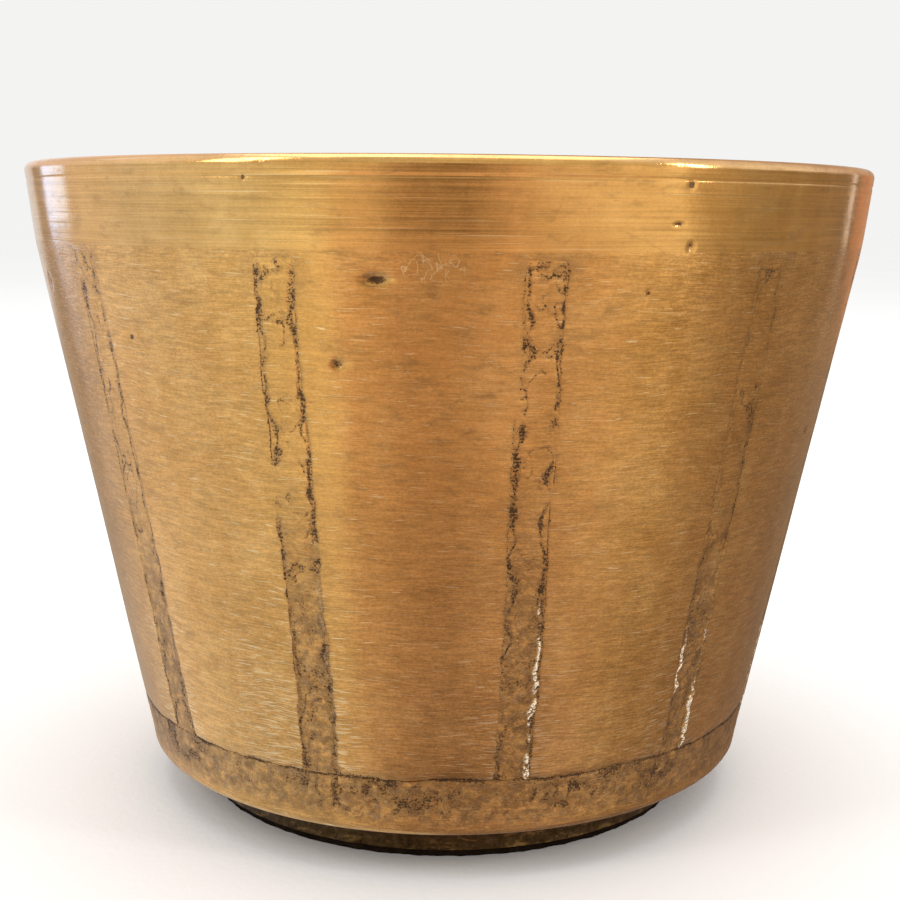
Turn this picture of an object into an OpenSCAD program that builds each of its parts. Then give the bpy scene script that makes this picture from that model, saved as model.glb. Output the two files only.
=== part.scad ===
// Pen holder cup: a tapered brass cup with twelve strips let into its wall, a turned rim collar, a base hoop,
// a floor disc, an inset foot ring and a felt pad. The cup stands on z = 0 and its axis is Z.

/* [Cup] */
// Overall height, from the desk to the top of the lip
cup_h = 84; // [78:1:90]
// Diameter over the lip
rim_d = 112; // [111:0.5:114]
// Diameter where the rim collar meets the tapered wall
shoulder_d = 110; // [108:0.5:110.5]
// Diameter of the tapered wall's lower edge
base_d = 83; // [78:1:86]
// Thickness of the wall, measured level
wall_t = 2.8; // [2.6:0.1:3.4]

/* [Rim collar] */
// Height of the collar, lip included
collar_h = 9.6; // [8:0.2:12]
// Height of the lip above the wall's top edge
lip_h = 2.4; // [2:0.1:2.8]
// Rounding of the lip's outer edge
lip_round = 1; // [0.6:0.1:1.1]
// Rounding of the lip's inner edge
lip_inner_round = 0.6; // [0.3:0.1:0.8]
// Depth of the line turned into the collar under the lip
line_depth = 0.15; // [0.05:0.05:0.3]
// Width of that line
line_w = 0.4; // [0.2:0.1:0.6]

/* [Strips] */
// Width of a strip
strip_w = 4.4; // [3:0.2:6]
// Depth of the groove that holds a strip
groove_depth = 1; // [0.8:0.1:1.2]
// How far a strip's face lies below the wall's
strip_recess = 0.25; // [0.1:0.05:0.4]
// Plain wall left between a strip's upper end and the collar
strip_top_gap = 0.8; // [0.4:0.1:2]
// Turn of the first strip from the front, towards the right
first_strip_deg = 10.6; // [0:0.2:29.8]

/* [Base] */
// Height of the hoop round the foot of the wall
hoop_h = 7.4; // [5:0.2:10]
// Level thickness of that hoop at its seat
hoop_t = 1.4; // [1.3:0.1:1.5]
// How far the hoop's face lies below the wall's
hoop_recess = 0.2; // [0.1:0.05:0.3]
// Width of the ledge inside the wall that carries the floor
ledge_w = 3; // [2.6:0.1:3.2]
// Thickness of that ledge
ledge_t = 1.5; // [1:0.1:2]
// Thickness of the floor disc
floor_t = 2.5; // [2:0.1:3.5]
// Diameter of the foot ring at its waist
foot_d = 69.6; // [66:0.2:70]
// Height of the wall's lower edge above the desk
foot_h = 6; // [5.4:0.2:7]
// Width of the foot ring at its waist
foot_w = 6; // [4:0.5:8]
// Radius of the cove round the foot ring
cove_r = 4.2; // [4.2:0.1:5]
// Thickness of the felt pad
felt_t = 1.2; // [0.8:0.1:1.4]
// How far the felt pad's edge lies inside the foot ring's waist
felt_inset = 0.4; // [0.2:0.1:1]

/* [Hidden] */
$fn = 180;
STRIPS = 12;
STRIP_STEP = 360 / STRIPS;
// Gap that the braze fills on round seats and beside the strips
BRAZE_GAP = 0.05;
// How far a cutter runs past the surface that it cuts
OVERRUN = 2;

rim_r = rim_d / 2;
shoulder_r = shoulder_d / 2;
base_r = base_d / 2;
foot_r = foot_d / 2;
shoulder_z = cup_h - collar_h;
wall_top_z = cup_h - lip_h;
hoop_z = foot_h + hoop_h;
floor_z = foot_h + ledge_t;
strip_top_z = shoulder_z - strip_top_gap;
slope = (shoulder_r - base_r) / (shoulder_z - foot_h);
taper = atan(slope);
bore_r = shoulder_r - wall_t;
collar_seat_r = bore_r + wall_t / 2;
cove_z = felt_t + cove_r / 3;

BRUSHED = [0.74, 0.55, 0.32];
TURNED = [0.79, 0.6, 0.34];
ROUGH = [0.55, 0.41, 0.25];
INSIDE = [0.68, 0.51, 0.3];
DARK = [0.25, 0.17, 0.1];
FELT = [0.1, 0.09, 0.08];

// Radius of the tapered wall's outer face at height z
function outer_r(z) = base_r + slope * (z - foot_h);

// Radius of the tapered wall's inner face at height z
function inner_r(z) = outer_r(z) - wall_t;

// Radius of the collar's outer face at height z
function collar_r(z) =
    shoulder_r + (rim_r - shoulder_r) * (z - shoulder_z) / (cup_h - lip_round - shoulder_z);

// The space of strip number i (0 is the first) from height lo to height hi, between two depths below the face
module strip_space(i, width, lo, hi, shallow, deep) {
    length = (hi - lo) / cos(taper) + 2 * OVERRUN;
    rotate([0, 0, first_strip_deg + i * STRIP_STEP - 90])
        intersection() {
            translate([outer_r(lo), 0, lo])
                rotate([0, taper, 0])
                    translate([-deep, -width / 2, -OVERRUN])
                        cube([deep - shallow, width, length]);
            translate([bore_r - 2 * hoop_h - wall_t, -strip_w, lo])
                cube([rim_r, 2 * strip_w, hi - lo]);
        }
}

// Tapered shell with a seat for the collar, a seat for the hoop, a ledge for the floor and a groove for each strip
module wall() {
    profile = [
        [inner_r(floor_z) - ledge_w, foot_h],
        [outer_r(foot_h) - hoop_t, foot_h],
        [outer_r(hoop_z) - hoop_t, hoop_z],
        [outer_r(hoop_z), hoop_z],
        [shoulder_r, shoulder_z],
        [collar_seat_r, shoulder_z],
        [collar_seat_r, wall_top_z],
        [bore_r, wall_top_z],
        [bore_r, shoulder_z],
        [inner_r(floor_z), floor_z],
        [inner_r(floor_z) - ledge_w, floor_z]
    ];
    color(BRUSHED)
        difference() {
            rotate_extrude() polygon(profile);
            for (i = [0 : STRIPS - 1])
                strip_space(i, strip_w, hoop_z - OVERRUN / 4, strip_top_z, -OVERRUN, groove_depth);
        }
}

// Turned ring that caps the wall: straight seat inside, slight taper outside, rounded lip on top
module rim_collar() {
    profile = [
        [collar_seat_r + BRAZE_GAP, shoulder_z],
        [shoulder_r, shoulder_z],
        [rim_r, cup_h - lip_round],
        [rim_r - lip_round, cup_h - lip_round],
        [rim_r - lip_round, cup_h],
        [bore_r + lip_inner_round, cup_h],
        [bore_r + lip_inner_round, cup_h - lip_inner_round],
        [bore_r, cup_h - lip_inner_round],
        [bore_r, wall_top_z],
        [collar_seat_r + BRAZE_GAP, wall_top_z]
    ];
    color(TURNED)
        rotate_extrude()
            difference() {
                union() {
                    polygon(profile);
                    translate([rim_r - lip_round, cup_h - lip_round]) circle(lip_round);
                    translate([bore_r + lip_inner_round, cup_h - lip_inner_round]) circle(lip_inner_round);
                }
                translate([collar_r(wall_top_z) - line_depth, wall_top_z]) square([OVERRUN, line_w]);
            }
}

// One flat bar, brazed into its groove
module strip(i) {
    color(ROUGH)
        strip_space(i, strip_w - 2 * BRAZE_GAP, hoop_z, strip_top_z, strip_recess, groove_depth);
}

// Tapered ring round the foot of the wall
module base_hoop() {
    profile = [
        [outer_r(foot_h) - hoop_t + BRAZE_GAP, foot_h],
        [outer_r(foot_h), foot_h],
        [outer_r(hoop_z) - hoop_recess, hoop_z],
        [outer_r(hoop_z) - hoop_t + BRAZE_GAP, hoop_z]
    ];
    color(ROUGH) rotate_extrude() polygon(profile);
}

// The cup's bottom, laid on the wall's ledge
module floor_disc() {
    color(INSIDE)
        translate([0, 0, floor_z])
            cylinder(
                h = floor_t,
                r1 = inner_r(floor_z) - BRAZE_GAP,
                r2 = inner_r(floor_z + floor_t) - BRAZE_GAP
            );
}

// Ring under the ledge, with a cove round it
module foot_ring() {
    color(DARK)
        rotate_extrude()
            difference() {
                translate([foot_r - foot_w, felt_t]) square([foot_w + cove_r / 2, foot_h - felt_t]);
                translate([foot_r + cove_r, cove_z]) circle(cove_r);
            }
}

// Round pad glued under the foot ring
module felt_pad() {
    color(FELT) cylinder(h = felt_t, r = foot_r - felt_inset);
}

wall();
rim_collar();
strip(0);  // strip_01
strip(1);  // strip_02
strip(2);  // strip_03
strip(3);  // strip_04
strip(4);  // strip_05
strip(5);  // strip_06
strip(6);  // strip_07
strip(7);  // strip_08
strip(8);  // strip_09
strip(9);  // strip_10
strip(10);  // strip_11
strip(11);  // strip_12
base_hoop();
floor_disc();
foot_ring();
felt_pad();
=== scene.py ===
import math

import bpy
import numpy as np
from mathutils import Matrix, Vector


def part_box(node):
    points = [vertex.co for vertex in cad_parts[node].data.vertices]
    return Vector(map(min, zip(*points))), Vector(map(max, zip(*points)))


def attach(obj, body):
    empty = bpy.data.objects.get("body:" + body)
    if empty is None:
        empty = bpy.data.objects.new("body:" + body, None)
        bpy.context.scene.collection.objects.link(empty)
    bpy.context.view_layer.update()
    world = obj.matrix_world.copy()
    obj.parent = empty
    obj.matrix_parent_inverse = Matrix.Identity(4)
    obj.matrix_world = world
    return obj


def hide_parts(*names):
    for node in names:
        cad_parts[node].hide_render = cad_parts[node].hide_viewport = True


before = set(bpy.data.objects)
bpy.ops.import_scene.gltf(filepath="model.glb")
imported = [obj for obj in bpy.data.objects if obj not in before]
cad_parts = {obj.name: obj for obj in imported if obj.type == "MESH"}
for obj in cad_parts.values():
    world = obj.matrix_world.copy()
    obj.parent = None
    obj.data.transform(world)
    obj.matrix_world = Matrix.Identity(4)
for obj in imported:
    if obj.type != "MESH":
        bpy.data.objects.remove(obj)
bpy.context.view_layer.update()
BODY = "root"
MM = 0.001


# ------------------------------ sizes, in millimetres, read from the frame

SAME_LEVEL = 0.05


def node_radius(node, level, pick=max):
    """Largest (or smallest) radius that a CAD node has at one height."""
    points = [v.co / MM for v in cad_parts[node].data.vertices]
    return pick(math.hypot(p.x, p.y) for p in points if abs(p.z - level) < SAME_LEVEL)


def levels(node):
    """Lowest and highest height of a CAD node."""
    low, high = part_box(node)
    return low.z / MM, high.z / MM


STRIPS = [f"strip_{i:02d}" for i in range(1, 13)]
FOOT_Z, HOOP_Z = levels("base_hoop")
SHOULDER_Z, CUP_H = levels("rim_collar")
FLOOR_Z, FLOOR_TOP_Z = levels("floor_disc")
FELT_T = levels("felt_pad")[1]
WALL_TOP_Z = levels("wall")[1]
STRIP_TOP_Z = levels(STRIPS[0])[1]

BASE_R = node_radius("base_hoop", FOOT_Z)
SHOULDER_R = node_radius("rim_collar", SHOULDER_Z)
RIM_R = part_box("rim_collar")[1].x / MM
BORE_R = node_radius("wall", WALL_TOP_Z, min)
SEAT_R = node_radius("wall", WALL_TOP_Z)
HOOP_SEAT_R = node_radius("wall", FOOT_Z)
LEDGE_R = node_radius("wall", FOOT_Z, min)
FLOOR_R = node_radius("floor_disc", FLOOR_Z)
FLOOR_TOP_R = node_radius("floor_disc", FLOOR_TOP_Z)
FOOT_R = node_radius("foot_ring", FELT_T)
FOOT_TOP_R = node_radius("foot_ring", FOOT_Z)
FOOT_BORE_R = node_radius("foot_ring", FELT_T, min)
FELT_R = node_radius("felt_pad", 0)
SLOPE = (SHOULDER_R - BASE_R) / (SHOULDER_Z - FOOT_Z)
NORMAL = np.array([1, -SLOPE]) / math.hypot(1, SLOPE)

WALL_T = SHOULDER_R - BORE_R
FIRST = np.array(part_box(STRIPS[0])).mean(0)
FIRST_TURN = math.atan2(FIRST[0], -FIRST[1])
SECTOR = math.tau / len(STRIPS)

# Sizes of the visual pieces alone, in millimetres
STRIP_W = 4.4
GROOVE_DEPTH = 1.0
BRAZE_GAP = 0.05
LIP_R = 1.0
LIP_INNER_R = 0.6
HOOP_BEND_R = 0.6
FLOOR_BEAD_R = 1.1
FELT_BEVEL = 0.15
DISC_HUB_R = 0.4


def outer_r(z):
    """Radius of the tapered wall's face."""
    return BASE_R + SLOPE * (z - FOOT_Z)


def outside_r(z):
    """Radius of the cup's outside, on the wall or on the collar."""
    if z < SHOULDER_Z:
        return outer_r(z)
    return SHOULDER_R + (RIM_R - SHOULDER_R) * (z - SHOULDER_Z) / (CUP_H - SHOULDER_Z)


# ------------------------------ repeatable noise

def hashed(ix, iy, seed):
    """A repeatable number from 0 to 1 for each pair of whole numbers."""
    h = (ix * 374761393 + iy * 668265263 + seed * 974634777) & 0xFFFFFFFF
    h = ((h ^ (h >> 13)) * 1274126177) & 0xFFFFFFFF
    return ((h ^ (h >> 16)) & 0xFFFF) / 0xFFFF


def value_noise(x, y, seed, around=None):
    """Smooth noise from 0 to 1. With around, it repeats after that many cells of x."""
    x, y = np.broadcast_arrays(np.asarray(x, float), np.asarray(y, float))
    ix, iy = np.floor(x).astype(np.int64), np.floor(y).astype(np.int64)
    fx, fy = x - ix, y - iy
    fx, fy = fx * fx * (3 - 2 * fx), fy * fy * (3 - 2 * fy)
    right = ix + 1
    if around:
        ix, right = ix % around, right % around
    low = hashed(ix, iy, seed) * (1 - fx) + hashed(right, iy, seed) * fx
    high = hashed(ix, iy + 1, seed) * (1 - fx) + hashed(right, iy + 1, seed) * fx
    return low * (1 - fy) + high * fy


def rough_noise(x, y, seed, octaves=3, around=None):
    """Noise from about -1 to 1, each octave twice as fine and half as strong."""
    total, share = 0, 0
    for k in range(octaves):
        wrap = around * 2**k if around else None
        total = total + (value_noise(x * 2**k, y * 2**k, seed + 31 * k, wrap) * 2 - 1) / 2**k
        share += 1 / 2**k
    return total / share * 1.6


def step(low, high, x):
    """Smooth step from 0 at low to 1 at high."""
    t = np.clip((x - low) / (high - low), 0, 1)
    return t * t * (3 - 2 * t)


# ------------------------------ meshes

SHARP = math.radians(55)
POINT_VALUES = ("loss", "rough", "bead", "worked")


def new_piece(name, points, faces, node, materials, attributes, face_material=None):
    """A smooth mesh piece in metres that stands for one CAD node. The materials read four values
    from 0 to 1 from its points: loss (missing metal), rough (as cast), bead (a bead of braze) and
    worked (scratched by filing)."""
    mesh = bpy.data.meshes.new(name)
    mesh.from_pydata((points * MM).tolist(), [], faces)
    mesh.validate()
    mesh.update()
    for key in POINT_VALUES:
        values = attributes.get(key, np.zeros(len(points)))
        layer = mesh.attributes.new(key, "FLOAT", "POINT")
        layer.data.foreach_set("value", np.asarray(values, np.float32).ravel())
    for material in materials:
        mesh.materials.append(material)
    if face_material is not None:
        mesh.polygons.foreach_set("material_index", np.asarray(face_material, np.int32))
    mesh.polygons.foreach_set("use_smooth", [True] * len(mesh.polygons))
    mesh.set_sharp_from_angle(angle=SHARP)
    piece = bpy.data.objects.new(name, mesh)
    bpy.context.scene.collection.objects.link(piece)
    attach(piece, BODY)
    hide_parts(node)
    return piece


def ring_faces(rows, columns, close_rows):
    """Quads of a grid whose columns go all the way round, as do its rows with close_rows."""
    last = rows if close_rows else rows - 1
    r, c = np.meshgrid(np.arange(last), np.arange(columns), indexing="ij")
    up, right = (r + 1) % rows, (c + 1) % columns
    corners = ((r, c), (r, right), (up, right), (up, c))
    quads = np.stack([row * columns + column for row, column in corners], -1)
    return quads.reshape(-1, 4).tolist()


def turned(radius, height, angle):
    """Points of a grid, row by row, from their radius, height and angle from the front."""
    return np.stack([radius * np.sin(angle), -radius * np.cos(angle), height], -1).reshape(-1, 3)


def along(stops, spacing):
    """Profile points along straight lines between (radius, height) stops, at most spacing apart."""
    points = [stops[0]]
    for (r0, z0), (r1, z1) in zip(stops, stops[1:]):
        across, up = r1 - r0, z1 - z0
        count = max(1, math.ceil(math.hypot(across, up) / spacing))
        points += [(r0 + across * k / count, z0 + up * k / count) for k in range(1, count + 1)]
    return points


def arc(radius, height, size, start, end, count):
    """Profile points on an arc round (radius, height), from one angle to another in degrees."""
    turns = [math.radians(start + (end - start) * k / count) for k in range(count + 1)]
    return [(radius + size * math.cos(t), height + size * math.sin(t)) for t in turns]


# ------------------------------ the joints between the pieces

# Pits in the wall's face: turn from the front in degrees, then height, half length, half height
# and depth in millimetres. The two largest come first.
PITS = [
    (-7.7, 71.5, 1.2, 0.46, 0.4),
    (-12.5, 62.6, 0.5, 0.42, 0.3),
    (-42.0, 64.2, 0.45, 0.35, 0.25),
    (-65.0, 69.5, 0.5, 0.7, 0.25),
    (22.5, 70.2, 0.3, 0.25, 0.2),
    (62.0, 52.0, 0.5, 0.4, 0.25),
    (118.0, 61.0, 0.8, 0.4, 0.3),
    (171.0, 34.0, 0.5, 0.5, 0.3),
    (-133.0, 45.0, 0.7, 0.4, 0.3),
]

# Pits in the collar, in the same terms
COLLAR_PITS = [
    (26.4, 81.3, 0.36, 0.42, 0.08),
    (25.3, 77.3, 0.5, 0.16, 0.16),
    (27.2, 75.0, 0.34, 0.5, 0.22),
    (-22.0, 81.6, 0.25, 0.3, 0.12),
    (139.0, 78.6, 0.5, 0.4, 0.2),
    (-158.0, 76.6, 0.4, 0.5, 0.18),
]

# Shallow dents, in the same terms
DENTS = [
    (23.0, 75.6, 2.8, 2.6, 0.15),
    (-36.0, 58.0, 4.0, 5.0, 0.05),
    (4.0, 34.0, 4.5, 3.5, 0.05),
    (-3.0, 20.0, 3.5, 3.0, 0.04),
    (52.0, 44.0, 3.0, 4.0, 0.05),
    (150.0, 66.0, 4.0, 3.0, 0.08),
]


def turn_to(angle, place):
    """The shortest turn from one angle to another, in radians."""
    return (angle - place + math.pi) % math.tau - math.pi


def hollow_depth(hollows, angle, z, radius, lip=0.0):
    """Depth of pits or dents, with a raised lip round each that is a share of its depth."""
    total = np.zeros(np.broadcast(angle, z).shape)
    for turn, height, half_long, half_high, deep in hollows:
        across = turn_to(angle, math.radians(turn))
        far = np.hypot(across * radius / half_long, (z - height) / half_high)
        total = total + deep * (np.exp(-far**2) - lip * np.exp(-((far - 1.6) / 0.5) ** 2))
    return total


# How high the lip round a pit stands, as a share of the pit's depth
PIT_LIP = 0.06

# How far above and below the shoulder it is filed round, in millimetres
BLEND = 1.6


def shoulder_blend(z):
    """How far the shoulder, filed round, lies below the sharp corner of collar and wall."""
    turn_in = SLOPE - (RIM_R - SHOULDER_R) / (CUP_H - LIP_R - SHOULDER_Z)
    return turn_in * BLEND / 4 * np.clip(1 - np.abs(z - SHOULDER_Z) / BLEND, 0, 1) ** 2


OUTER_STEP = 0.5


def wall_rows():
    """Heights of the wall's outer rows: even, but for a pair at the strips' tops and more across
    the two largest pits and the shoulder."""
    heights = list(np.arange(HOOP_Z, STRIP_TOP_Z - OUTER_STEP / 2, OUTER_STEP))
    heights += [STRIP_TOP_Z - 0.01, STRIP_TOP_Z + 0.01]
    heights += list(np.linspace(STRIP_TOP_Z, SHOULDER_Z, 5)[1:])
    for _turn, height, _half_long, half_high, _deep in PITS[:2]:
        heights += [height + half_high * share for share in (-1.5, -0.9, -0.4, 0.1, 0.6, 1.1)]
    return np.array(sorted(heights))


WALL_ROWS = wall_rows()


def strip_key(i, side):
    """A number for the noise along one side (-1 or 1) of strip i."""
    return 40 * i + 9 * side


def groove_edge(i, side, z):
    """Half the width of strip i's groove at height z: ragged, but straight from one of the wall's
    rows to the next, so that wall and strip meet."""
    key = strip_key(i, side)
    quick = rough_noise(WALL_ROWS / 1.5, key, 5, 3)
    slow = rough_noise(WALL_ROWS / 9.0, key, 6, 1)
    return np.interp(z, WALL_ROWS, STRIP_W / 2 + (0.14 * quick + 0.12 * slow))


# How far the joints beside each strip are eaten away, from 0 to 1
JOINT_WEAR = (1.0, 0.66, 0.6, 0.9, 1.0, 0.75, 1.0, 0.65, 0.9, 0.8, 0.9, 1.0)


def open_joint(i, side, z):
    """How open the joint beside strip i is, from 0 to 1. It comes and goes along the strip."""
    key = strip_key(i, side)
    slow, quick = value_noise(z / 6.0, key, 17), value_noise(z / 1.2, key, 18)
    eaten = step(0.24, 0.46, 0.6 * slow + 0.4 * quick)
    return JOINT_WEAR[i] * eaten * step(STRIP_TOP_Z, STRIP_TOP_Z - 1.5, z)


def foot_line(angle):
    """How far the ragged joint between wall and hoop strays from its height, in millimetres."""
    turn = np.asarray(angle) / math.tau
    slow = rough_noise(turn * 30, 0.5, 21, 2, around=30)
    quick = rough_noise(turn * 200, 0.5, 22, 2, around=200)
    return 0.3 * slow + 0.14 * quick


def foot_open(angle):
    """How open that joint is, from 0 to 1."""
    turn = np.asarray(angle) / math.tau
    return 0.25 + 0.75 * step(0.32, 0.6, value_noise(turn * 90, 0.5, 23, around=90))


def follow_foot(z, angle):
    """Heights near the foot of the wall, moved with the ragged joint."""
    return z + foot_line(angle) * np.clip(1 - (z - HOOP_Z) / 4, 0, 1)


def hand_work(angle, z):
    """How far the face strays below the true cone, from hand filing and polishing."""
    turn = angle / math.tau
    swell = 0.03 * (1 + rough_noise(turn * 24, z / 12, 31, 3, around=24))
    filed = 0.006 * (1 + rough_noise(turn * 60, z / 0.9, 32, 2, around=60))
    return swell + filed


def face_depth(angle, z):
    """Depth of the face of wall and strips alike below the true cone."""
    return hand_work(angle, z) + hollow_depth(DENTS, angle, z, outer_r(z)) + shoulder_blend(z)


# ------------------------------ wall

# Columns of the wall beside a groove, in millimetres past its edge, and how many follow them
HALF_STATIONS = (0.0, 0.06, 0.16, 0.32, 0.55, 0.9, 1.4, 2.1)
FAR_COLUMNS = 9
INNER_STEP = 3.0


def half_sector(i, side):
    """The columns from a groove's middle out to the next sector, each with its share of the
    groove's half width, its millimetres past the edge, its share of what is left and its depth."""
    far = [(k + 1) / FAR_COLUMNS for k in range(FAR_COLUMNS)]
    for turn, height, half_long, _half_high, _deep in PITS:
        across = turn_to(math.radians(turn), FIRST_TURN + i * SECTOR)
        if side * across < 0 or abs(across) > SECTOR / 2:
            continue
        past = STRIP_W / 2 + HALF_STATIONS[-1]
        rest = outer_r(height) * SECTOR / 2 - past
        for share in (-1.4, -0.8, -0.3, 0.3, 0.8, 1.4):
            far.append((abs(across) * outer_r(height) - past + share * half_long) / rest)
    columns = [(share, 0, 0, GROOVE_DEPTH) for share in (0, 0.5, 1)]
    columns += [(1, past, 0, 0) for past in HALF_STATIONS]
    columns += [(1, HALF_STATIONS[-1], share, 0) for share in sorted(far) if 0.02 < share <= 1]
    return columns


# How far the file's scratches reach to the left of each strip and to its right, in millimetres
FILED_LEFT = (4.0, 5.0, 6.0, 8.0, 5.0, 4.0, 9.0, 5.0, 6.0, 4.0, 5.0, 14.0)
FILED_RIGHT = 2.5


def filed_beside(i, side, past, z):
    """How scratched the wall is from filing strip i: mostly at its left and low down."""
    reach = FILED_LEFT[i] if side < 0 else FILED_RIGHT
    return step(0.5 * CUP_H, 0.22 * CUP_H, z) * np.exp(-((np.maximum(past, 0) / reach) ** 2))


def make_wall(outside, inside):
    """The tapered shell: ragged grooves, pits and a hand-worked face outside, plain inside."""
    heights = WALL_ROWS[:, None]
    face = outer_r(heights)
    angles, depths, seams, opens, filings = [], [], [], [], []
    for i in range(len(STRIPS)):
        centre = FIRST_TURN + i * SECTOR
        for side in (-1, 1):
            half = half_sector(i, side)
            edge = groove_edge(i, side, heights)
            rest = face * SECTOR / 2 - edge - HALF_STATIONS[-1]
            for share, past, far, groove in half[::-1] if side < 0 else half[1:-1]:
                across = share * edge + past + far * rest
                beside, above = np.maximum(across - edge, 0), np.maximum(heights - STRIP_TOP_Z, 0)
                angles.append(centre + side * across / face)
                depths.append(np.where(heights < STRIP_TOP_Z, groove, 0))
                seams.append(np.hypot(beside, above))
                opens.append(open_joint(i, side, heights))
                filings.append(filed_beside(i, side, across - edge, heights))
    parts = (angles, depths, seams, opens, filings)
    angle, depth, seam, opened, filed = (np.concatenate(part, 1) for part in parts)
    near_top = np.exp(-(((heights - STRIP_TOP_Z) / 3) ** 2)) * np.exp(-((seam / 1.5) ** 2))
    rough = 0.05 + 0.3 * near_top
    z = follow_foot(heights, angle)
    sunk = depth + face_depth(angle, z) + 0.05 * opened * np.exp(-seam / 0.12)
    sunk = sunk + np.maximum(hollow_depth(PITS, angle, z, face, PIT_LIP), -0.02)
    over_foot = z - HOOP_Z - foot_line(angle)
    sunk = sunk + 0.12 * np.exp(-over_foot / 0.25)
    near_foot = over_foot < seam
    seam = np.where(near_foot, over_foot, seam)
    opened = np.where(near_foot, foot_open(angle), opened)
    missing = np.maximum(0.55 * opened * np.exp(-((seam / 0.22) ** 2)), 0.16 * near_top)
    radius, level = outer_r(z) - sunk * NORMAL[0], z - sunk * NORMAL[1]

    seat = [(SEAT_R, SHOULDER_Z), (SEAT_R, WALL_TOP_Z), (BORE_R, WALL_TOP_Z), (BORE_R, SHOULDER_Z)]
    bore = along([(BORE_R, SHOULDER_Z), (outer_r(FLOOR_Z) - WALL_T, FLOOR_Z)], INNER_STEP)[1:]
    hoop_seat = (HOOP_SEAT_R + SLOPE * (HOOP_Z - FOOT_Z), HOOP_Z)
    foot = [(LEDGE_R, FLOOR_Z), (LEDGE_R, FOOT_Z), (HOOP_SEAT_R, FOOT_Z), hoop_seat]
    hidden = np.array(seat + bore + foot)
    plain = np.broadcast_to(angle[len(heights) // 2], (len(hidden), angle.shape[1]))
    radius = np.concatenate([radius, np.broadcast_to(hidden[:, :1], plain.shape)])
    level = np.concatenate([level, np.broadcast_to(hidden[:, 1:], plain.shape)])
    angle = np.concatenate([angle, plain])
    none = np.zeros(plain.shape)
    rows, columns = angle.shape
    new_piece(
        "wall_brushed", turned(radius, level, angle), ring_faces(rows, columns, True),
        "wall", [outside, inside],
        {
            "loss": np.concatenate([missing, none]),
            "rough": np.concatenate([rough, none]),
            "worked": np.concatenate([filed, none]),
        },
        np.repeat(np.arange(rows) >= len(heights), columns),
    )


# ------------------------------ strips

STRIP_COLUMNS = 36
STRIP_STEP = 0.16


# Where braze stands proud beside a strip: the strip's index, the side, the lowest and highest
# height in millimetres, and how much of it there is, from 0 to 1, which also sets its painted
# highlight
BEADS = [
    (0, 1, 12, 39, 0.9),
    (1, -1, 20.5, 33, 0.9),
    (1, 1, 12, 33, 1.0),
    (2, -1, 12, 31, 0.9),
    (4, 1, 8, 24, 0.6),
    (6, -1, 11, 19, 0.5),
    (7, 1, 20, 34, 0.8),
    (9, -1, 8, 22, 0.5),
    (10, -1, 14, 29, 0.3),
    (10, 1, 16, 32, 0.4),
    (11, 1, 18, 44, 0.3),
]


def bead_along(i, side, z):
    """How much braze stands proud beside strip i at height z, from 0 to 1."""
    total = np.zeros(np.shape(z))
    for strip, where, low, high, much in BEADS:
        if (strip, where) == (i, side):
            total = total + much * step(low, low + 2, z) * step(high, high - 7, z)
    return total


def grains(across, z, seed):
    """Fine crumbs of dirt and metal, from 0 to 1."""
    coarse = value_noise(across / 0.24, z / 0.24, seed)
    return 0.6 * coarse + 0.4 * value_noise(across / 0.12, z / 0.12, seed + 1)


def strip_surface(i, s, z, left, right):
    """The face of strip i, s millimetres across: its depth below the wall's face, where braze or
    metal is missing, how rough it is, and where a bead of braze stands proud."""
    up = (z - HOOP_Z) / (STRIP_TOP_Z - HOOP_Z)
    lower = step(0.66, 0.22, up)
    shift = z + 90 * i
    crumbs = grains(s, shift, 46)
    missing, bead = np.zeros(s.shape), np.zeros(s.shape)
    for side, edge in ((-1, left), (1, right)):
        key = strip_key(i, side)
        inward = edge - side * s
        middle = 0.05 + 0.9 * value_noise(z / 2.4, key, 44) ** 2
        wide = 0.18 + 0.7 * value_noise(z / 1.5, key, 45) ** 2
        strength = open_joint(i, side, z) * (0.5 + 0.5 * value_noise(z / 0.6, key, 54))
        missing = np.maximum(missing, strength * np.exp(-(((inward - middle) / wide) ** 2)))
        crest = 0.2 + 0.4 * value_noise(z / 0.9, key, 55)
        broad = 0.16 + 0.42 * value_noise(z / 1.6, key, 52) ** 1.5
        clumps = 0.35 + 0.65 * step(0.3, 0.6, value_noise(z / 2.2, key, 57))
        stands = bead_along(i, side, z) * clumps * step(0.3, 0.55, crumbs)
        bead = np.maximum(bead, stands * np.exp(-(((inward - crest) / broad) ** 2)))
    u = s + 0.7 * rough_noise(s / 1.3, shift / 1.3, 53, 2)
    v = shift + 0.9 * rough_noise(s / 1.7, shift / 1.5, 56, 2)
    veins = step(0.1, 0.0, np.abs(value_noise((u + 0.5 * v) / 1.7, (v - 0.5 * u) / 2.4, 48) - 0.5))
    veins = veins * step(0.4, 0.58, value_noise((s + 0.3 * shift) / 2.6, shift / 4.0, 49))
    near_top = np.exp(-(((STRIP_TOP_Z - 1.5 - z) / 3) ** 2))
    blots = step(0.58, 0.82, value_noise((u + 0.4 * v) / 0.8, (v - 0.4 * u) / 0.9, 50)) * near_top
    pitted = lower * step(0.5, 0.85, value_noise((u + 0.4 * v) / 0.9, (v - 0.4 * u) / 1.1, 51))
    missing = np.maximum.reduce([0.85 * missing, 0.55 * veins, 0.5 * blots, 0.45 * pitted])
    missing = missing * (1 - bead)
    inside = np.clip(np.minimum(left + s, right - s) / 0.4, 0, 1)
    lumps = rough_noise((u + 0.4 * v) / 1.3, (v - 0.4 * u) / 1.6, 41, 3)
    uneven = (0.005 + 0.045 * lower) * (1 + lumps)
    depth = inside * (uneven + 0.04 * lower) - 0.14 * bead
    depth = depth + 0.1 * missing * step(0.3, 0.7, crumbs) * np.clip(inside * 4, 0, 1)
    return depth, missing, 0.08 + 0.92 * lower, bead


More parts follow.
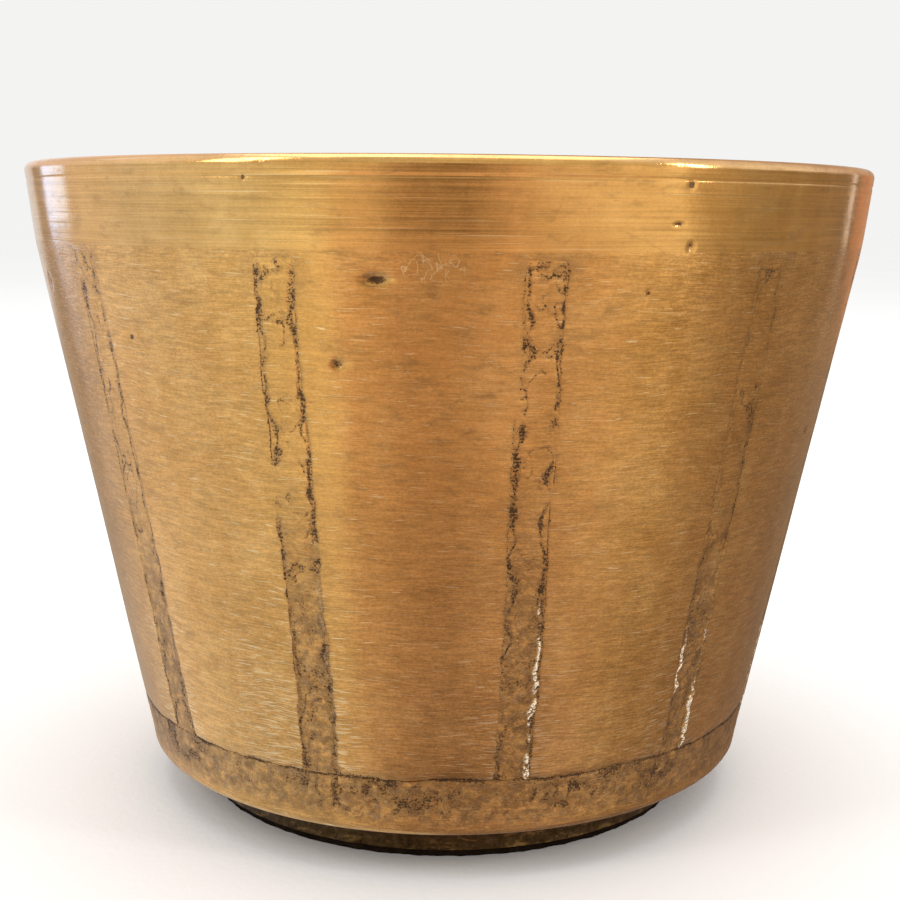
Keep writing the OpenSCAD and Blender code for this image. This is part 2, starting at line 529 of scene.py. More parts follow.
def make_strip(i, material):
    """One strip as a closed bar: a worked face, and plain sides and back that clear the groove."""
    centre = FIRST_TURN + i * SECTOR
    count = round((STRIP_TOP_Z - HOOP_Z) / STRIP_STEP)
    rows = np.linspace(HOOP_Z, STRIP_TOP_Z, count)[:, None]
    left, right = groove_edge(i, -1, rows), groove_edge(i, 1, rows)
    s = -left + (left + right) * np.linspace(0, 1, STRIP_COLUMNS + 1)
    z = np.broadcast_to(rows, s.shape)
    depth, missing, rough, bead = strip_surface(i, s, z, left, right)
    opened = np.where(s < 0, open_joint(i, -1, z), open_joint(i, 1, z))
    inward = np.minimum(left + s, right - s)
    depth = depth + face_depth(centre + s / outer_r(z), z) + 0.05 * opened * np.exp(-inward / 0.12)
    back = np.concatenate([right - BRAZE_GAP, right * 0, BRAZE_GAP - left], 1)
    s, z = np.concatenate([s, back], 1), np.broadcast_to(rows, (count, STRIP_COLUMNS + 4))
    depth = np.concatenate([depth, np.full(back.shape, GROOVE_DEPTH - 0.02)], 1)
    missing, rough, bead = (np.concatenate([part, back * 0], 1) for part in (missing, rough, bead))
    angle = centre + s / outer_r(z)
    level = follow_foot(z, angle)
    points = turned(outer_r(level) - depth * NORMAL[0], level - depth * NORMAL[1], angle)
    columns = s.shape[1]
    faces = ring_faces(count, columns, False)
    faces += [list(range(columns))[::-1], list(range((count - 1) * columns, count * columns))]
    new_piece(
        f"{STRIPS[i]}_inlay", points, faces, STRIPS[i], [material],
        {"loss": missing, "rough": rough, "bead": bead},
    )


# ------------------------------ turned pieces

COLLAR_COLUMNS = 1200
HOOP_COLUMNS = 1100
FLOOR_COLUMNS = 180
FOOT_COLUMNS = 360
FELT_COLUMNS = 300


def make_turned(name, profile, node, material, columns, shape, close=True):
    """A turned piece from a profile that goes up outside and back down inside, or with close off
    from the hub below to the hub above. shape(angle, radius, height) gives the points' depth below
    the plain surface as sunk, how far they are lifted as lift, and values for the material."""
    radius, height = np.array(profile).T[:, :, None]
    angle = np.linspace(0, math.tau, columns, endpoint=False)[None, :]
    angle, radius, height = np.broadcast_arrays(angle, radius, height)
    details = shape(angle, radius, height)
    depth, lift = details.pop("sunk", 0), details.pop("lift", 0)
    faces = ring_faces(len(profile), columns, close)
    if not close:
        last = (len(profile) - 1) * columns
        faces += [list(range(columns))[::-1], list(range(last, last + columns))]
    points = turned(radius - depth, height + lift, angle)
    new_piece(name, points, faces, node, [material], details)


# Heights of the deeper lathe lines above the shoulder, in millimetres
SCRIBED = (1.1, 2.2, 3.4, 5.1, 6.4)


def collar_shape(angle, radius, height):
    """Faint lathe lines, the line under the lip, pits, dents and small nicks in the lip."""
    turn = angle / math.tau
    outside = step(SEAT_R + 0.3, SEAT_R + 0.8, radius)
    band = outside * step(CUP_H - 0.8, CUP_H - 1.2, height)
    lines = 0.0015 * rough_noise(height / 0.3, 0.5, 51, 2)
    scribed = sum(np.exp(-(((height - SHOULDER_Z - up) / 0.08) ** 2)) for up in SCRIBED)
    under_lip = np.exp(-(((height - WALL_TOP_Z - 0.2) / 0.15) ** 2))
    swell = 0.01 * (1 + rough_noise(turn * 14, height / 30, 52, 1, around=14))
    near_wall = step(SHOULDER_Z + 3, SHOULDER_Z, height)
    swell = swell * (1 - near_wall) + hand_work(angle, SHOULDER_Z) * near_wall
    nick = step(0.82, 0.95, value_noise(turn * 420, height / 1.3, 53, around=420))
    nick = nick * step(CUP_H - 1.2, CUP_H - 0.5, height)
    pits = hollow_depth(COLLAR_PITS, angle, height, radius, PIT_LIP)
    sunk = band * (lines + 0.012 * scribed + 0.07 * under_lip + pits)
    sunk = sunk + outside * (swell + 0.05 * nick)
    dents = hollow_depth(DENTS, angle, height, radius)
    sunk = sunk + outside * (dents + shoulder_blend(height))
    return {"sunk": np.maximum(sunk, 0), "rough": 0.05 + 0.3 * nick * outside}


def make_collar(material):
    """The turned collar with its rounded lip."""
    outside = along([(SHOULDER_R, SHOULDER_Z), (RIM_R, CUP_H - LIP_R)], 0.17)
    lip = arc(RIM_R - LIP_R, CUP_H - LIP_R, LIP_R, 8, 90, 9)
    inner_lip = arc(BORE_R + LIP_INNER_R, CUP_H - LIP_INNER_R, LIP_INNER_R, 90, 180, 5)
    top = along([lip[-1], inner_lip[0]], 0.7)[1:-1]
    seat_r = SEAT_R + BRAZE_GAP
    seat = [(BORE_R, WALL_TOP_Z), (seat_r, WALL_TOP_Z), (seat_r, SHOULDER_Z)]
    make_turned(
        "rim_collar_turned", outside + lip + top + inner_lip + seat,
        "rim_collar", material, COLLAR_COLUMNS, collar_shape,
    )


def hoop_shape(angle, radius, height):
    """Rough, with blots and drips below the joint with the wall, but smooth at the lower edge."""
    turn = angle / math.tau
    outside = radius > outer_r(height) - 0.3
    up = (height - FOOT_Z) / (HOOP_Z - FOOT_Z)
    gap = HOOP_Z - height
    crumbs = grains(turn * math.tau * BASE_R, height, 66)
    ragged = 0.07 * rough_noise(turn * 60, 0.5, 61, 2, around=60)
    rough = step(0.12, 0.34, up + ragged)
    uneven = rough_noise(turn * 300, height / 1.1, 63, 3, around=300)
    reach = 1 - 0.9 * value_noise(turn * 170, 0.5, 64, around=170)
    wander = turn * 330 + 0.5 * rough_noise(turn * 230, height / 1.6, 67, 2, around=230)
    drips = step(0.42, 0.8, value_noise(wander, 0.5, 65, around=330))
    drips = drips * step(reach - 0.1, reach + 0.2, up)
    leaning = turn * 190 + 0.6 * rough_noise(turn * 190, height / 1.1, 69, 2, around=190)
    blots = step(0.4, 0.8, value_noise(leaning, height / 1.3, 68, around=190)) * step(0.15, 0.5, up)
    # A dark line just under the wall's lower edge: partly the open joint, partly painted shadow of
    # that edge
    crack_and_shadow = foot_open(angle) * np.exp(-(((gap - 0.1) / (0.12 + 0.22 * crumbs)) ** 2))
    heavy = 0.45 + 0.55 * step(0.3, 0.7, value_noise(turn * 36, height / 5, 70, around=36))
    missing = np.maximum.reduce([0.85 * drips * rough * heavy, 0.62 * blots * heavy, 0.9 * crack_and_shadow])
    sunk = 0.05 + rough * (0.08 + 0.05 * uneven) + 0.1 * missing * step(0.25, 0.65, crumbs)
    lift = (foot_line(angle) - 0.03) * step(0.4, 1.0, up)
    return {
        "sunk": np.where(outside, sunk, 0),
        "loss": np.where(outside, missing, 0),
        "rough": np.where(outside, rough, 0),
        "lift": np.where(height > FOOT_Z + 0.5, lift, 0),
    }


def make_hoop(material):
    """The hoop round the foot of the wall."""
    seat_r = HOOP_SEAT_R + BRAZE_GAP
    seat = [(outer_r(HOOP_Z) - outer_r(FOOT_Z) + seat_r, HOOP_Z), (seat_r, FOOT_Z)]
    bend_z = FOOT_Z + HOOP_BEND_R
    bend = arc(BASE_R - HOOP_BEND_R, bend_z, HOOP_BEND_R, -90, 0, 5)
    outside = along([(outer_r(bend_z), bend_z), (outer_r(HOOP_Z), HOOP_Z)], 0.19)
    make_turned(
        "base_hoop_rough", bend[:-1] + outside + seat,
        "base_hoop", material, HOOP_COLUMNS, hoop_shape,
    )


def floor_shape(angle, radius, height):
    """Faint rings from facing the disc on a lathe, and a shallow hammered unevenness."""
    turn = angle / math.tau
    rings = 0.012 * rough_noise(radius / 0.9, turn * 4, 71, 2)
    hammered = 0.04 * rough_noise(turn * 7, radius / 9, 72, 2, around=7)
    return {"lift": np.where(height > FLOOR_TOP_Z - 0.01, rings + hammered - 0.06, 0)}


def make_floor(material):
    """The floor disc, with a bead of braze up to the wall."""
    top_r = FLOOR_TOP_R - FLOOR_BEAD_R
    under = along([(DISC_HUB_R, FLOOR_Z), (FLOOR_R, FLOOR_Z)], 6)
    corner = arc(top_r, FLOOR_TOP_Z + FLOOR_BEAD_R, FLOOR_BEAD_R, 0, -90, 6)
    corner = [(r + SLOPE * (z - FLOOR_TOP_Z), z) for r, z in corner]
    top = along([(top_r, FLOOR_TOP_Z), (DISC_HUB_R, FLOOR_TOP_Z)], 0.7)[1:]
    make_turned(
        "floor_disc_faced", under + corner + top,
        "floor_disc", material, FLOOR_COLUMNS, floor_shape, close=False,
    )


def foot_shape(angle, radius, height):
    """Slight unevenness of the foot, whose dark colour is partly patina and partly painted shade.
    """
    turn = angle / math.tau
    uneven = 0.03 * (1 + rough_noise(turn * 90, height / 1.5, 81, 2, around=90))
    return {"sunk": uneven * (radius > FOOT_BORE_R + 1), "rough": np.full(angle.shape, 0.15)}


def make_foot(material):
    """The foot ring, with the cove that its CAD node has."""
    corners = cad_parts["foot_ring"].data.vertices
    outline = [(math.hypot(v.co.x, v.co.y) / MM, v.co.z / MM) for v in corners]
    cove_z = FELT_T + 1.4
    waist = min(r for r, z in outline if z < cove_z + 0.2 and r > FOOT_BORE_R + 2)
    cove, rise = [], []
    for t in (k * math.pi / 10 for k in range(6)):
        z = FELT_T + (cove_z - FELT_T) * t * 2 / math.pi
        cove.append((FOOT_R + (waist - FOOT_R) * math.sin(t), z))
    for t in np.linspace(0, 1, 12)[1:]:
        rise.append((waist + (FOOT_TOP_R - waist) * t**2, cove_z + (FOOT_Z - cove_z) * t))
    top, bore, foot = (FOOT_TOP_R, FOOT_Z), (FOOT_BORE_R, FOOT_Z), (FOOT_BORE_R, FELT_T)
    inside = along([top, bore, foot, (FOOT_R, FELT_T)], 1.5)
    make_turned(
        "foot_ring_dark_painted_shade", cove + rise + inside[1:-1],
        "foot_ring", material, FOOT_COLUMNS, foot_shape,
    )


def felt_shape(angle, radius, height):
    """The felt's cut edge wanders a little, and its faces are slightly uneven."""
    turn = angle / math.tau
    ragged = 0.12 * (1 + rough_noise(turn * 220, height / 0.5, 91, 3, around=220))
    lumps = 0.03 * rough_noise(turn * 40, radius / 1.5, 92, 2, around=40)
    lift = np.where(height > FELT_T / 2, -0.04 + lumps / 2, 0)
    return {"sunk": (radius > FELT_R - 0.8) * ragged, "lift": lift}


def make_felt(material):
    """The felt pad under the foot."""
    flat_r = FELT_R - FELT_BEVEL
    bottom = along([(DISC_HUB_R, 0), (flat_r, 0)], 1.2)
    side = along([(FELT_R, FELT_BEVEL), (FELT_R, FELT_T - FELT_BEVEL)], 0.2)
    top = along([(flat_r, FELT_T), (DISC_HUB_R, FELT_T)], 1.2)
    make_turned(
        "felt_pad_cut", bottom + side + top,
        "felt_pad", material, FELT_COLUMNS, felt_shape, close=False,
    )


# ------------------------------ materials

class Graph:
    """Short names for the shader nodes that are used here. Most methods return an output socket."""

    def __init__(self, tree):
        self.tree = tree
        tree.nodes.clear()

    def node(self, kind, inputs=(), **settings):
        """A new node, its settings, and its inputs by name or number: values or other outputs."""
        made = self.tree.nodes.new("ShaderNode" + kind)
        for key, value in settings.items():
            setattr(made, key, value)
        for key, value in dict(inputs).items():
            if isinstance(value, bpy.types.NodeSocket):
                self.tree.links.new(value, made.inputs[key])
            else:
                made.inputs[key].default_value = value
        return made

    def math(self, operation, a, b=0.0):
        return self.node("Math", {0: a, 1: b}, operation=operation).outputs[0]

    def add(self, a, b):
        return self.math("ADD", a, b)

    def times(self, a, b):
        return self.math("MULTIPLY", a, b)

    def most(self, a, b):
        return self.math("MAXIMUM", a, b)

    def vector(self, x, y, z):
        return self.node("CombineXYZ", {0: x, 1: y, 2: z}).outputs[0]

    def split(self, vector):
        return self.node("SeparateXYZ", {0: vector}).outputs

    def scale(self, vector, x, y, z):
        return self.node("VectorMath", {0: vector, 1: (x, y, z)}, operation="MULTIPLY").outputs[0]

    def noise(self, vector, scale=1.0, detail=2.0, roughness=0.5, distortion=0.0):
        inputs = {"Vector": vector, "Scale": scale, "Detail": detail}
        inputs |= {"Roughness": roughness, "Distortion": distortion}
        return self.node("TexNoise", inputs).outputs["Fac"]

    def between(self, x, low, high, start=0.0, end=1.0):
        """start where x is low, end where it is high, smooth between. low may be the larger."""
        inputs = {"Value": x, "From Min": low, "From Max": high, "To Min": start, "To Max": end}
        return self.node("MapRange", inputs, interpolation_type="SMOOTHSTEP").outputs[0]

    def mix(self, share, a, b, blend="MIX"):
        """Colour a blended with colour b."""
        a, b = (part if isinstance(part, bpy.types.NodeSocket) else (*part, 1) for part in (a, b))
        inputs = {0: share, 6: a, 7: b}
        return self.node("Mix", inputs, data_type="RGBA", blend_type=blend).outputs[2]

    def shade(self, colour, value):
        """A colour times a number."""
        return self.mix(1.0, colour, self.vector(value, value, value), "MULTIPLY")

    def ramp(self, x, *stops):
        """Colours along x: stops are (place, colour)."""
        made = self.node("ValToRGB", {0: x})
        elements = made.color_ramp.elements
        while len(elements) < len(stops):
            elements.new(0.5)
        for element, (place, colour) in zip(elements, stops):
            element.position, element.color = place, (*colour, 1)
        return made.outputs[0]

    def attribute(self, name):
        return self.node("Attribute", attribute_name=name).outputs["Fac"]

    def bump(self, height, distance, normal=None):
        """A bump of a 0 to 1 height, distance in metres deep."""
        inputs = {"Height": height, "Distance": distance, "Strength": 1.0}
        if normal is not None:
            inputs["Normal"] = normal
        return self.node("Bump", inputs).outputs[0]


def new_material(name):
    """An empty node material and its graph."""
    material = bpy.data.materials.new(name)
    material.use_nodes = True
    return material, Graph(material.node_tree)


def finish_material(graph, **inputs):
    """The Principled shader, from its inputs by name."""
    names = {key.replace("_", " "): value for key, value in inputs.items()}
    shader = graph.node("BsdfPrincipled", names)
    output = graph.node("OutputMaterial")
    graph.tree.links.new(shader.outputs[0], output.inputs[0])


def from_place(g, place, turn, level, half_long, half_high):
    """How far a point is from a place on the cup's outside, with 1 at the place's own edge."""
    turn, radius = math.radians(turn), outside_r(level)
    centre = (radius * math.sin(turn), -radius * math.cos(turn), level)
    away = g.node("VectorMath", {0: place, 1: centre}, operation="SUBTRACT").outputs[0]
    away = g.scale(away, 1 / half_long, 1 / half_long, 1 / half_high)
    return g.node("VectorMath", {0: away}, operation="LENGTH").outputs[1]


# Dull, middle and bright colours of each kind of brass
TONES = {
    "brushed": ((0.63, 0.325, 0.105), (0.73, 0.385, 0.13), (0.82, 0.46, 0.17)),
    "turned": ((0.68, 0.365, 0.125), (0.76, 0.415, 0.145), (0.84, 0.48, 0.18)),
    "inside": ((0.46, 0.25, 0.09), (0.55, 0.31, 0.115), (0.64, 0.37, 0.15)),
    # The foot's dark tones are partly patina and partly painted shade of the undercut under the
    # hoop
    "dark": ((0.020, 0.011, 0.005), (0.032, 0.018, 0.008), (0.055, 0.030, 0.013)),
}
# Painted highlight colour of the scratches and sparkles
GLINT = (1.0, 0.74, 0.44)
# Painted highlight colour of the beads of braze
BEAD_HIGHLIGHT = (1.0, 0.88, 0.70)
# Colour mixed in where metal is missing and in the pits
DARKENING_COLOUR = (0.14, 0.080, 0.044)
CAST = (0.28, 0.155, 0.074)
GREY = (0.52, 0.38, 0.25)
STAIN = (0.42, 0.24, 0.095)


def brass(
    name, tones, strokes, gloss, anisotropy,
    scratch_glint=1.0, stray=1.4, mottle=1.0, pits=(), scribble=None,
):
    """Worn brass. tones are its three colours; strokes its brush lines' length and width in
    millimetres and their contrast; gloss its lowest and highest roughness; scratch_glint how deep
    the scratch lines are cut and how bright their painted highlight is; stray how far brush lines
    wander from level; mottle how uneven the grain is; pits the dark pits; scribble a place with
    curled scratch lines, in the pits' terms."""
    material, g = new_material(name)
    place = g.scale(g.node("TexCoord").outputs["Object"], 1 / MM, 1 / MM, 1 / MM)
    x, y, z = g.split(place)
    loss, rough, bead, worked = (g.attribute(key) for key in POINT_VALUES)
    length, width, contrast = strokes

    large = g.noise(place, 0.05, 2, 0.5)
    patch = g.noise(g.scale(place, 1, 1, 0.7), 0.24, 4, 0.6, 0.5)
    grit = g.noise(place, 4.2, 1.5, 0.6)
    sway = g.times(g.add(g.noise(place, 0.09, 1, 0.5), -0.5), stray)
    row = g.times(g.add(z, sway), length / width)
    lain = g.vector(g.add(x, g.times(row, 0.1)), g.add(y, g.times(row, -0.07)), row)
    fine = g.noise(lain, 1 / length, 1.5, 0.6)
    broad = g.noise(g.scale(lain, 0.5, 0.5, 0.22), 1 / length, 2, 0.5)

    tone = g.add(g.times(large, 0.5), g.times(patch, 0.5))
    colour = g.ramp(tone, (0.34, tones[0]), (0.5, tones[1]), (0.66, tones[2]))
    colour = g.shade(colour, g.between(fine, 0.28, 0.72, 1 - contrast, 1 + contrast))
    colour = g.shade(colour, g.between(broad, 0.3, 0.7, 1 - 0.5 * contrast, 1 + 0.5 * contrast))
    grain = g.noise(g.scale(place, 1, 1, 1.5), 2.6, 2.5, 0.7)
    colour = g.shade(colour, g.between(grain, 0.3, 0.7, 1 - 0.14 * mottle, 1 + 0.12 * mottle))
    tarnish = g.between(g.noise(g.scale(place, 1, 1, 2.6), 0.34, 5, 0.66, 0.3), 0.5, 0.72)
    colour = g.mix(g.times(tarnish, 0.45), colour, STAIN)

    blotch = g.between(g.noise(place, 0.8, 5, 0.72, 0.4), 0.34, 0.64)
    colour = g.mix(g.times(g.times(rough, blotch), 0.8), colour, CAST)
    pale = g.between(g.noise(place, 1.3, 4, 0.66), 0.48, 0.7)
    colour = g.mix(g.times(g.times(rough, pale), 0.35), colour, GREY)

    # Scratch lines: cut by the bump below, and mixed toward the pale GLINT colour as a painted
    # highlight
    short = g.noise(g.scale(lain, 1.1, 1.1, 0.9), 1 / length, 0.5, 0.5)
    bundled = g.between(g.noise(place, 0.15, 2, 0.5), 0.42, 0.6)
    glinting_scratches = g.between(g.add(short, g.times(worked, 0.14)), 0.69, 0.79, 0.0, scratch_glint)
    long_marks = g.between(g.noise(g.scale(lain, 0.35, 0.35, 0.7), 1 / length, 1, 0.5), 0.68, 0.76)
    glinting_scratches = g.most(glinting_scratches, g.times(g.times(long_marks, bundled), 0.8 * scratch_glint))
    glinting_scratches = g.times(glinting_scratches, g.math("SUBTRACT", 1.0, g.times(rough, 0.8)))
    if scribble:
        contour = g.math("ABSOLUTE", g.add(g.noise(place, 0.7, 1.5, 0.6, 0.6), -0.5))
        curls = g.between(contour, 0.02, 0.007)
        away = from_place(g, place, *scribble)
        glinting_scratches = g.most(glinting_scratches, g.times(curls, g.between(away, 1.2, 0.8)))
    # Painted sparkles: specks of the pale highlight colour in the rough, cast areas
    painted_sparkles = g.times(g.between(g.noise(place, 4.5, 1, 0.5), 0.68, 0.76), rough)
    # Painted highlight: scratches and sparkles are mixed toward the pale GLINT colour
    colour = g.mix(g.times(g.most(glinting_scratches, g.times(painted_sparkles, 0.7)), 0.7), colour, GLINT)

    crumbs = g.add(g.times(grit, 0.7), g.times(fine, 0.3))
    missing = g.between(g.add(crumbs, g.times(loss, 0.36)), 0.65, 0.78)
    darkening = g.times(missing, g.between(loss, 0.02, 0.2))
    colour = g.mix(g.times(loss, 0.7), colour, CAST)
    # Each pit is coloured darker toward its middle
    for turn, level_mm, half_long, half_high, _deep in pits:
        far = from_place(g, place, turn, level_mm, half_long, half_high)
        far = g.add(far, g.add(grit, -0.5))
        darkening = g.most(darkening, g.between(far, 1.05, 0.6, 0.0, 0.95))
    colour = g.mix(darkening, colour, DARKENING_COLOUR)
    # Painted highlight: the beads are painted near white and made less metallic where they stand
    # proud
    shining = g.times(g.between(bead, 0.1, 0.75), g.between(grit, 0.36, 0.52))
    colour = g.mix(shining, colour, BEAD_HIGHLIGHT)

    roughness = g.between(g.add(g.times(fine, 0.5), g.times(patch, 0.5)), 0.35, 0.65, *gloss)
    dulled = g.add(g.times(tarnish, 0.08), g.times(g.add(grain, -0.5), 0.12 * mottle))
    roughness = g.add(roughness, g.add(dulled, g.add(g.times(darkening, 0.3), g.times(rough, 0.16))))
    brushing = g.add(g.add(fine, g.times(grain, 0.6 * mottle)), g.times(glinting_scratches, -0.8))
    relief = g.bump(brushing, 0.005 * MM)
    casting = g.times(g.add(grit, blotch), g.add(rough, g.times(bead, 2.0)))
    relief = g.bump(casting, 0.04 * MM, relief)
    relief = g.bump(g.math("SUBTRACT", 1.0, darkening), 0.012 * MM, relief)
    around = g.node("Tangent", direction_type="RADIAL", axis="Z").outputs[0]
    finish_material(
        g, Base_Color=colour, Metallic=g.between(shining, 0.2, 1.0, 1.0, 0.3),
        Roughness=roughness, Normal=relief,
        Anisotropic=anisotropy, Anisotropic_Rotation=0.25, Tangent=around,
    )
    return material


FELT_COLOURS = (
    (0.32, (0.006, 0.003, 0.002)),
    (0.5, (0.013, 0.007, 0.004)),
    (0.7, (0.03, 0.018, 0.011)),
)


def felt(name):
    """Dark felt of matted fibres."""
    material, g = new_material(name)
    place = g.scale(g.node("TexCoord").outputs["Object"], 1 / MM, 1 / MM, 1 / MM)
    fibre = g.noise(g.scale(place, 1, 1, 1.6), 3.4, 4, 0.7, 1.4)
    clump = g.noise(place, 0.5, 3, 0.6)
    matted = g.add(g.times(fibre, 0.6), g.times(clump, 0.4))
    colour = g.ramp(matted, *FELT_COLOURS)
    relief = g.bump(fibre, 0.2 * MM)
    finish_material(
        g, Base_Color=colour, Roughness=0.95, Normal=relief, Specular_IOR_Level=0.05,
    )
    return material


# ------------------------------ studio

# What the metal mirrors level with the cup, by turn from the front in degrees
LEVEL = (
    (-180, (0.46, 0.42, 0.38)),
    (-140, (0.46, 0.38, 0.27)),
    (-110, (0.90, 0.93, 0.96)),
    (-90, (0.76, 0.84, 0.95)),
    (-60, (0.82, 0.92, 0.92)),
    (-40, (0.70, 0.71, 0.55)),
    (-22, (0.73, 0.65, 0.48)),
    (-12, (0.37, 0.29, 0.20)),
    (4, (0.24, 0.18, 0.12)),
    (14, (0.56, 0.44, 0.34)),
    (28, (0.86, 0.76, 0.58)),
    (60, (1.12, 1.06, 0.82)),
    (64, (0.64, 0.56, 0.38)),
    (85, (0.42, 0.37, 0.27)),
    (150, (0.30, 0.22, 0.14)),
)

# The same lower down
LOW = (
    (-180, (0.40, 0.36, 0.32)),
    (-140, (0.60, 0.56, 0.48)),
    (-110, (0.93, 0.96, 1.00)),
    (-75, (0.80, 0.80, 0.74)),
    (-52, (1.00, 1.05, 0.88)),
    (-34, (1.45, 1.44, 1.12)),
    (-31, (1.14, 0.94, 0.73)),
    (-12, (0.82, 0.61, 0.45)),
    (2, (0.84, 0.65, 0.49)),
    (18, (1.02, 0.81, 0.62)),
    (30, (0.80, 0.65, 0.52)),
    (48, (0.88, 0.76, 0.60)),
    (62, (0.60, 0.53, 0.38)),
    (90, (0.37, 0.30, 0.24)),
    (150, (0.24, 0.18, 0.13)),
)

# The same close by the cup's foot
NEAR = (
    (-180, (0.42, 0.40, 0.40)),
    (-130, (0.78, 0.84, 0.80)),
    (-80, (0.57, 0.62, 0.68)),
    (-50, (0.56, 0.58, 0.64)),
    (-34, (0.56, 0.58, 0.60)),
    (-30, (0.44, 0.40, 0.40)),
    (0, (0.25, 0.21, 0.22)),
    (26, (0.29, 0.25, 0.27)),
    (48, (0.40, 0.34, 0.36)),
    (66, (0.29, 0.25, 0.26)),
    (90, (0.25, 0.21, 0.21)),
    (150, (0.26, 0.23, 0.24)),
)

# Things that only the collar mirrors: their first and last turn in degrees, and their colour
PANES = (
    (-166, -143, (0.80, 0.80, 0.80)),
    (-133, -118, (1.30, 1.85, 3.40)),
    (130, 133, (1.10, 1.10, 1.20)),
    (137, 162, (0.58, 0.32, 0.18)),
)
BACKDROP = (0.90, 0.897, 0.892)
CEILING = (1.05, 1.15, 1.40)
CEILING_IN_FRONT = (0.74, 0.72, 0.56)
BEHIND_LEFT = (1.0, 0.9, 0.85)
BEHIND_RIGHT = (0.62, 0.48, 0.36)


def make_world():
    """Pale for the camera and for diffuse light. What the metal mirrors is a room: a dark shape in
    front with paler boards beside it, windows behind, a dim wall on the right, a darker table and
    a bright ceiling."""
    world = bpy.data.worlds.new("studio")
    bpy.context.scene.world = world
    world.use_nodes = True
    g = Graph(world.node_tree)
    x, y, z = g.split(g.node("TexCoord").outputs["Generated"])
    turn = g.times(g.math("ARCTAN2", x, g.times(y, -1)), 180 / math.pi)
    share = g.times(g.add(turn, 180), 1 / 360)
    bands = []
    for stops in (LEVEL, LOW, NEAR):
        bands.append(g.ramp(share, *(((at + 180) / 360, colour) for at, colour in stops)))
    level, low, near = bands
    seen = g.mix(g.between(z, -0.46, -0.68), low, near)
    seen = g.mix(g.between(z, -0.38, -0.2), seen, level)
    above = g.between(z, -0.12, -0.09)
    for start, end, colour in PANES:
        after_start = g.between(turn, start - 1, start + 1)
        before_end = g.between(turn, end + 1, end - 1)
        seen = g.mix(g.times(g.times(after_start, before_end), above), seen, colour)
    ceiling = g.mix(g.between(y, -0.5, -0.1), CEILING_IN_FRONT, CEILING)
    behind = g.mix(g.between(x, -0.35, 0.0), BEHIND_LEFT, BEHIND_RIGHT)
    ceiling = g.mix(g.between(y, 0.2, 0.8), ceiling, behind)
    seen = g.mix(g.between(z, 0.0, 0.2), seen, ceiling)
    rays = g.node("LightPath").outputs
    seen = g.mix(rays["Is Glossy Ray"], (1.0, 1.0, 1.0), seen)
    seen = g.mix(rays["Is Camera Ray"], seen, BACKDROP)
    background = g.node("Background", {"Color": seen, "Strength": 1.0})
    output = g.node("OutputWorld")
    g.tree.links.new(background.outputs[0], output.inputs[0])


def make_floor_plane():
    """A wide pale floor."""
    material, g = new_material("pale_floor")
    place = g.node("TexCoord").outputs["Object"]
    cloud = g.noise(place, 6.0, 3, 0.5)
    colour = g.ramp(cloud, (0.3, (0.893, 0.89, 0.885)), (0.7, (0.907, 0.904, 0.90)))
    grain = g.bump(g.noise(place, 900.0, 2), 0.00005)
    finish_material(g, Base_Color=colour, Roughness=0.9, Normal=grain, Specular_IOR_Level=0.0)
    bpy.ops.mesh.primitive_circle_add(vertices=96, radius=6, fill_type="NGON")
    floor = bpy.context.object
    floor.name = "studio_floor"
    floor.data.materials.append(material)
    floor.visible_glossy = False


# Soft boxes: name, place and size in metres, power in watts and colour
LAMPS = (
    ("window_left", (-0.55, -0.35, 0.5), (0.15, 0.5), 1.2, (1.0, 0.97, 0.95)),
    ("lamp_right", (0.6, -0.3, 0.35), (0.06, 0.3), 0.9, (1.0, 0.96, 0.92)),
    ("ceiling", (0.0, 0.1, 0.9), (0.8, 0.8), 3, (1.0, 1.0, 1.0)),
)


def make_light(name, place, size, power, colour):
    """A rectangular soft box aimed at the middle of the cup."""
    light = bpy.data.lights.new(name, "AREA")
    light.shape = "RECTANGLE"
    light.size, light.size_y = size
    light.energy, light.color = power, colour
    lamp = bpy.data.objects.new(name, light)
    bpy.context.scene.collection.objects.link(lamp)
    lamp.location = place
    aim = Vector((0, 0, CUP_H * MM / 2)) - lamp.location
    lamp.rotation_euler = aim.to_track_quat("-Z", "Y").to_euler()


# The photograph's view: place in millimetres, turns in degrees, and lens and sensor in millimetres
CAMERA_BACK = 194.2
CAMERA_HEIGHT = 78.3
CAMERA_PITCH = 9.734
CAMERA_ROLL = -0.567
CAMERA_YAW = 0.125
CAMERA_LENS = 55.43
CAMERA_SENSOR = 36.0


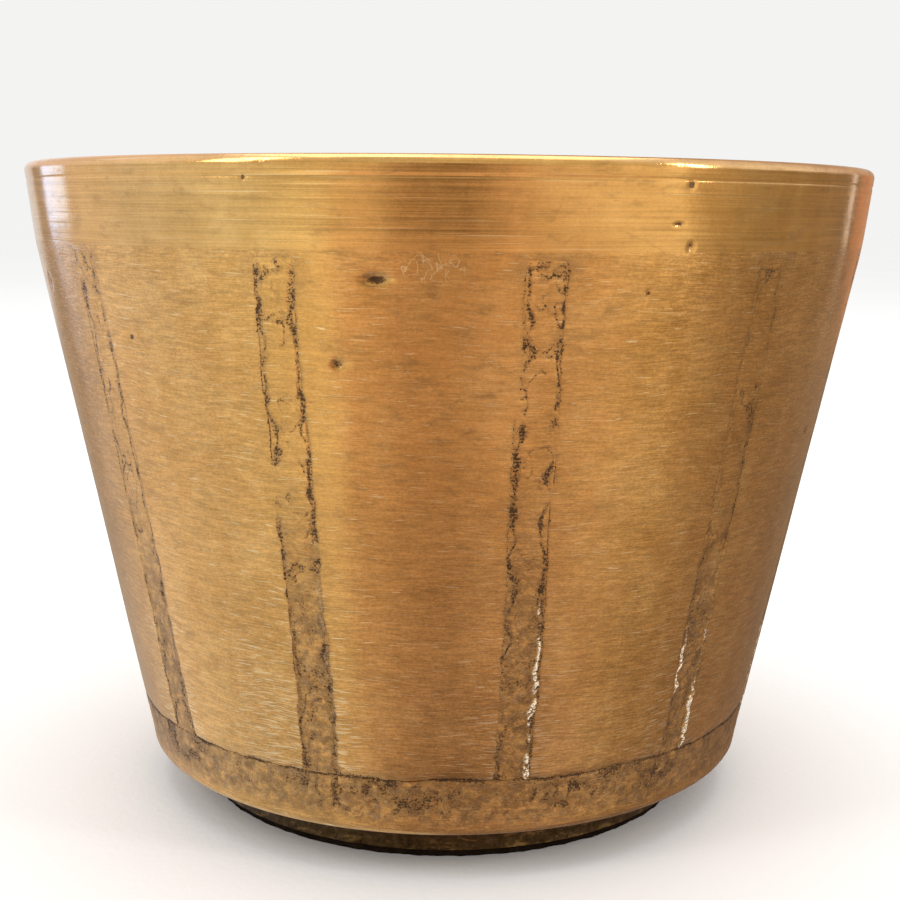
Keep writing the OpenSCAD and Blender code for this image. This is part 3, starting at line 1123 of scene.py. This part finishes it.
def make_camera():
    """Close in front, a little below the rim, looking slightly down."""
    pitch, roll, yaw = (math.radians(turn) for turn in (CAMERA_PITCH, CAMERA_ROLL, CAMERA_YAW))
    data = bpy.data.cameras.new("camera")
    data.lens = CAMERA_LENS
    data.sensor_width = CAMERA_SENSOR
    data.clip_start = 10 * MM
    camera = bpy.data.objects.new("camera", data)
    bpy.context.scene.collection.objects.link(camera)
    place = Matrix.Translation((0, -CAMERA_BACK * MM, CAMERA_HEIGHT * MM))
    tilt = Matrix.Rotation(math.pi / 2 - pitch, 4, "X") @ Matrix.Rotation(-roll, 4, "Z")
    camera.matrix_world = place @ Matrix.Rotation(-yaw, 4, "Z") @ tilt
    bpy.context.scene.camera = camera


# ------------------------------ the cup

# Where the wall is scribbled on with curled scratches, painted in the pale highlight colour: turn
# from the front, height, half length and half height
SCRIBBLE = (-1.6, 72.8, 3.6, 1.5)


def make_cup():
    """Every piece, with its material."""
    brushed = brass(
        "brushed_brass", TONES["brushed"], strokes=(2.2, 0.12, 0.15), gloss=(0.17, 0.25),
        anisotropy=0.92, pits=PITS, scribble=SCRIBBLE,
    )
    lathe = brass(
        "turned_brass", TONES["turned"], strokes=(14.0, 0.16, 0.1), gloss=(0.1, 0.18),
        anisotropy=0.85, scratch_glint=0.7, stray=0.1, mottle=0.4, pits=COLLAR_PITS,
    )
    raw = brass(
        "rough_brass", TONES["brushed"], strokes=(2.2, 0.12, 0.15), gloss=(0.18, 0.28),
        anisotropy=0.7,
    )
    inside = brass(
        "inside_brass", TONES["inside"], strokes=(9.0, 0.3, 0.1), gloss=(0.3, 0.45),
        anisotropy=0.4, scratch_glint=0.08,
    )
    # The foot ring is coloured near black: partly patina, partly painted shade of its undercut
    dark = brass(
        "dark_brass", TONES["dark"], strokes=(20.0, 0.3, 0.12), gloss=(0.28, 0.4),
        anisotropy=0.4, scratch_glint=0.3,
    )
    make_wall(brushed, inside)
    make_collar(lathe)
    for i in range(len(STRIPS)):
        make_strip(i, raw)
    make_hoop(raw)
    make_floor(inside)
    make_foot(dark)
    make_felt(felt("felt"))


bpy.context.scene.view_settings.view_transform = "Standard"
make_camera()
make_world()
make_floor_plane()
for lamp in LAMPS:
    make_light(*lamp)
make_cup()
